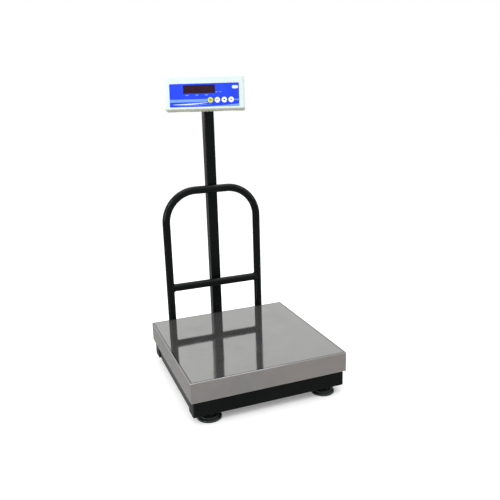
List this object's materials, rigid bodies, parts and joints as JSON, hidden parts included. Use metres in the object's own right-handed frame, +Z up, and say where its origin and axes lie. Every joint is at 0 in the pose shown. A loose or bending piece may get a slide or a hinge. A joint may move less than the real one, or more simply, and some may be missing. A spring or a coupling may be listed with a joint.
{
  "type": "platform shipping scale",
  "caption": "Bench platform scale: steel pan on a load cell, square-tube base on levelling feet, bent guard rail and a pole with a swivelling, tilting display head.",
  "frame": {"origin": "on the floor, under the centre of the whole scale's bounding box", "axes": "+Z up, +X to the right of a user who faces the display, +Y away from the user towards the pole"},
  "size_m": [0.4, 0.468, 0.7808],
  "materials": {
    "frame_paint": "semi-gloss black powder coat with a green cast",
    "stainless_sheet": "polished stainless sheet",
    "zinc_steel": "zinc plated",
    "cell_aluminium": "clear anodised",
    "pad_rubber": "moulded rubber",
    "foot_plastic": "black nylon, slightly glossy",
    "black_plastic": "moulded black plastic",
    "case_plastic": "off-white ABS, fine texture",
    "overlay_film": "printed blue polyester film",
    "red_window": "dark red display filter",
    "key_white": "white printed key",
    "key_yellow": "yellow-green printed key",
    "board_laminate": "green solder mask",
    "battery_case": "grey moulded case",
    "cable_jacket": "PVC jacket"
  },
  "bodies": {
    "base": {"front_rail": "frame_paint", "rear_rail": "frame_paint", "left_rail": "frame_paint", "right_rail": "frame_paint", "centre_beam": "frame_paint", "end_plugs": "black_plastic", "foot_nuts": "zinc_steel", "lower_spacer": "zinc_steel", "load_cell": "cell_aluminium", "lower_cell_bolts": "zinc_steel", "overload_screws": "zinc_steel", "overload_locknuts": "zinc_steel", "guard_rail": "frame_paint", "crossbar": "frame_paint", "rail_holders": "frame_paint", "pole": "frame_paint", "pole_bracket": "frame_paint", "frame_bolts": "zinc_steel", "pole_cap": "black_plastic", "cell_cable": "cable_jacket"},
    "foot_front_left": {"foot_pad_front_left": "foot_plastic"},
    "stud_front_left": {"foot_stud_front_left": "zinc_steel"},
    "foot_front_right": {"foot_pad_front_right": "foot_plastic"},
    "stud_front_right": {"foot_stud_front_right": "zinc_steel"},
    "foot_rear_left": {"foot_pad_rear_left": "foot_plastic"},
    "stud_rear_left": {"foot_stud_rear_left": "zinc_steel"},
    "foot_rear_right": {"foot_pad_rear_right": "foot_plastic"},
    "stud_rear_right": {"foot_stud_rear_right": "zinc_steel"},
    "live_frame": {"upper_spacer": "zinc_steel", "upper_cell_bolts": "zinc_steel", "live_centre_tube": "frame_paint", "live_front_tube": "frame_paint", "live_rear_tube": "frame_paint", "pan_pads": "pad_rubber"},
    "weighing_pan": {"pan": "stainless_sheet"},
    "swivel": {"swivel_yoke": "frame_paint", "head_lead": "cable_jacket"},
    "indicator": {"tilt_bracket": "frame_paint", "tilt_bolts": "zinc_steel", "rear_case": "case_plastic", "front_bezel": "case_plastic", "case_screws": "zinc_steel", "overlay": "overlay_film", "display_window": "red_window", "main_board": "board_laminate", "led_module": "black_plastic", "buzzer": "black_plastic", "battery": "battery_case", "cable_gland": "black_plastic", "power_inlet": "black_plastic", "switch_frame": "black_plastic"},
    "knob": {"tilt_knob": "black_plastic"},
    "button_zero": {"key_zero": "key_yellow"},
    "button_tare": {"key_tare": "key_white"},
    "button_mode": {"key_mode": "key_white"},
    "button_total": {"key_total": "key_white"},
    "rocker": {"power_rocker": "black_plastic"}
  },
  "joints": [
    {"name": "foot_front_left_height", "type": "slide", "parent": "base", "child": "foot_front_left", "axis": [0, 0, -1], "range_m": [0, 0.012]},
    {"name": "stud_front_left_turn", "type": "hinge", "parent": "foot_front_left", "child": "stud_front_left", "pos_m": [-0.15, -0.202, 0.02], "axis": [0, 0, -1], "range_deg": [0, 2470]},
    {"name": "foot_front_right_height", "type": "slide", "parent": "base", "child": "foot_front_right", "axis": [0, 0, -1], "range_m": [0, 0.012]},
    {"name": "stud_front_right_turn", "type": "hinge", "parent": "foot_front_right", "child": "stud_front_right", "pos_m": [0.15, -0.202, 0.02], "axis": [0, 0, -1], "range_deg": [0, 2470]},
    {"name": "foot_rear_left_height", "type": "slide", "parent": "base", "child": "foot_rear_left", "axis": [0, 0, -1], "range_m": [0, 0.012]},
    {"name": "stud_rear_left_turn", "type": "hinge", "parent": "foot_rear_left", "child": "stud_rear_left", "pos_m": [-0.15, 0.134, 0.02], "axis": [0, 0, -1], "range_deg": [0, 2470]},
    {"name": "foot_rear_right_height", "type": "slide", "parent": "base", "child": "foot_rear_right", "axis": [0, 0, -1], "range_m": [0, 0.012]},
    {"name": "stud_rear_right_turn", "type": "hinge", "parent": "foot_rear_right", "child": "stud_rear_right", "pos_m": [0.15, 0.134, 0.02], "axis": [0, 0, -1], "range_deg": [0, 2470]},
    {"name": "platform_deflection", "type": "slide", "parent": "base", "child": "live_frame", "axis": [0, 0, -1], "range_m": [0, 0.00075], "stiffness_N_per_m": 1000000, "deforming": ["load_cell"]},
    {"name": "pan_lift_off", "type": "slide", "parent": "live_frame", "child": "weighing_pan", "axis": [0, 0, 1], "range_m": [0, 0.12]},
    {"name": "head_swivel", "type": "hinge", "parent": "base", "child": "swivel", "pos_m": [0.008, 0.211, 0.726], "axis": [0, 0, 1], "range_deg": [-68, 112]},
    {"name": "head_tilt", "type": "hinge", "parent": "swivel", "child": "indicator", "pos_m": [0.008, 0.211, 0.726], "axis": [0.9272, -0.3746, 0], "range_deg": [-21, 9], "deforming": ["head_lead"]},
    {"name": "knob_turn", "type": "hinge", "parent": "indicator", "child": "knob", "pos_m": [0.008, 0.211, 0.726], "axis": [0.9272, -0.3746, 0], "range_deg": [0, 360]},
    {"name": "key_zero_press", "type": "slide", "parent": "indicator", "child": "button_zero", "axis": [0.37, 0.9158, -0.1564], "range_m": [0, 0.0005], "stiffness_N_per_m": 2000, "springref_m": -0.0003},
    {"name": "key_tare_press", "type": "slide", "parent": "indicator", "child": "button_tare", "axis": [0.37, 0.9158, -0.1564], "range_m": [0, 0.0005], "stiffness_N_per_m": 2000, "springref_m": -0.0003},
    {"name": "key_mode_press", "type": "slide", "parent": "indicator", "child": "button_mode", "axis": [0.37, 0.9158, -0.1564], "range_m": [0, 0.0005], "stiffness_N_per_m": 2000, "springref_m": -0.0003},
    {"name": "key_total_press", "type": "slide", "parent": "indicator", "child": "button_total", "axis": [0.37, 0.9158, -0.1564], "range_m": [0, 0.0005], "stiffness_N_per_m": 2000, "springref_m": -0.0003},
    {"name": "rocker_tilt", "type": "hinge", "parent": "indicator", "child": "rocker", "pos_m": [-0.0713, 0.2016, 0.71994], "axis": [0.9272, -0.3746, 0], "range_deg": [-16, 0]}
  ],
  "couplings": [
    {"joint": "stud_front_left_turn", "follows": "foot_front_left_height", "rad_per_m": 3590.4},
    {"joint": "stud_front_right_turn", "follows": "foot_front_right_height", "rad_per_m": 3590.4},
    {"joint": "stud_rear_left_turn", "follows": "foot_rear_left_height", "rad_per_m": 3590.4},
    {"joint": "stud_rear_right_turn", "follows": "foot_rear_right_height", "rad_per_m": 3590.4}
  ]
}
